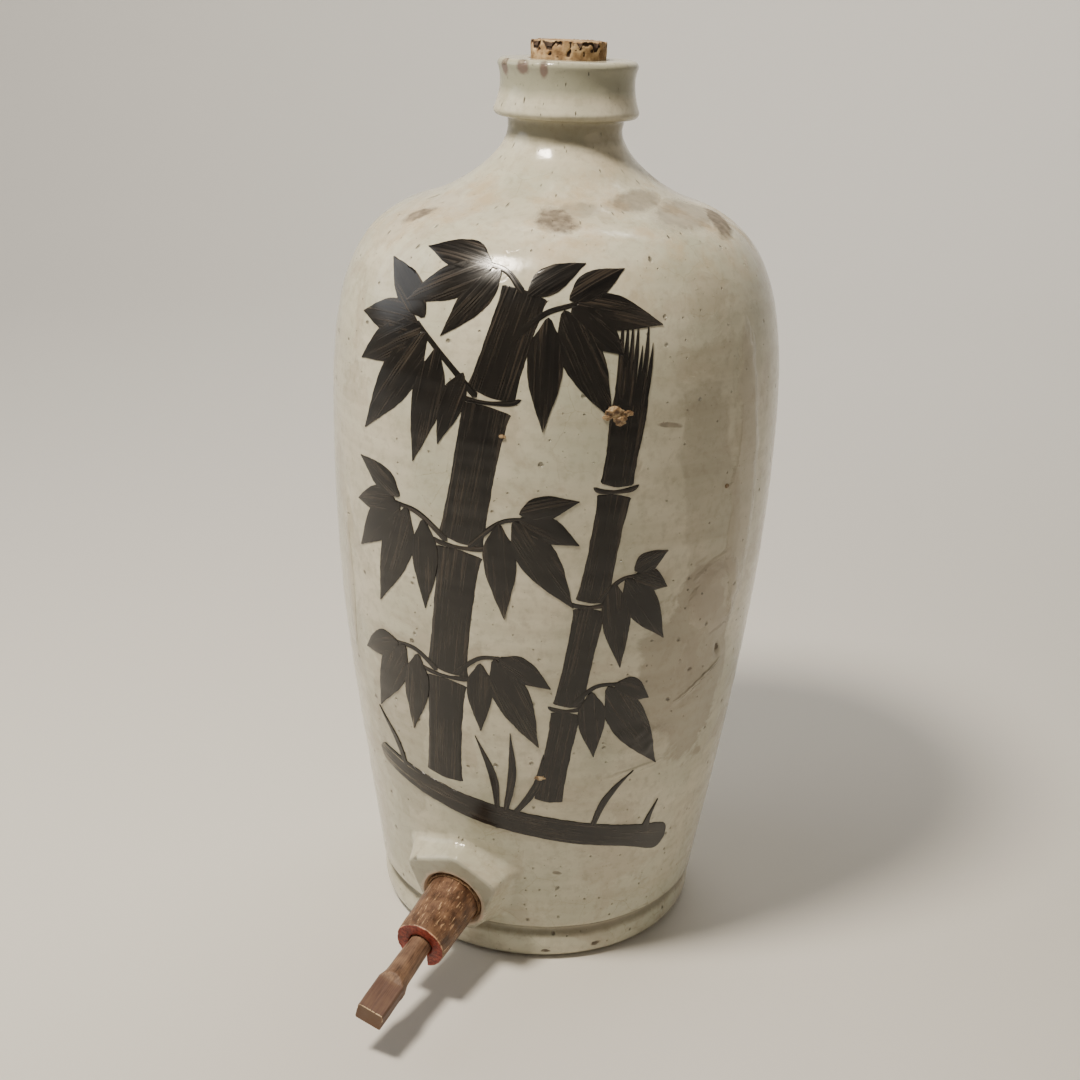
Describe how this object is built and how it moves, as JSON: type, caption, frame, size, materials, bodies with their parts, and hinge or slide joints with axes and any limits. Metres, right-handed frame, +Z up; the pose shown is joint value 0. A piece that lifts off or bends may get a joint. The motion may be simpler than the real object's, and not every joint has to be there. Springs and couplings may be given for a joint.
{
  "type": "sake jar with tap",
  "caption": "Tall shouldered glazed stoneware jar with a collared neck, a cork in the mouth and a wooden plug tap low on its front.",
  "frame": {"origin": "centre of the jar's flat base, on the jar's own axis", "axes": "+Z up along the jar's axis, the tap points toward -Y, +X to the right of someone facing the tap"},
  "size_m": [0.2016, 0.2652, 0.4076],
  "materials": {
    "glaze": "glossy off-white glaze over stoneware",
    "cork": "dry natural cork",
    "barrel_wood": "bark left on, end painted red",
    "paper": "wound paper, stained",
    "plug_wood": "whittled bare wood, handled dark"
  },
  "bodies": {
    "jar": {"jar_body": "glaze"},
    "cork": {"mouth_cork": "cork"},
    "tap": {"tap_barrel": "barrel_wood", "tap_packing": "paper"},
    "plug": {"tap_plug": "plug_wood"}
  },
  "joints": [
    {"name": "cork_pull", "type": "slide", "parent": "jar", "child": "cork", "axis": [0, 0, 1], "range_m": [0, 0.045]},
    {"name": "tap_draw", "type": "slide", "parent": "jar", "child": "tap", "axis": [0, -0.9799, -0.1994], "range_m": [0, 0.0225]},
    {"name": "plug_pull", "type": "slide", "parent": "tap", "child": "plug", "axis": [0, -0.9799, -0.1994], "range_m": [0, 0.0525]}
  ]
}
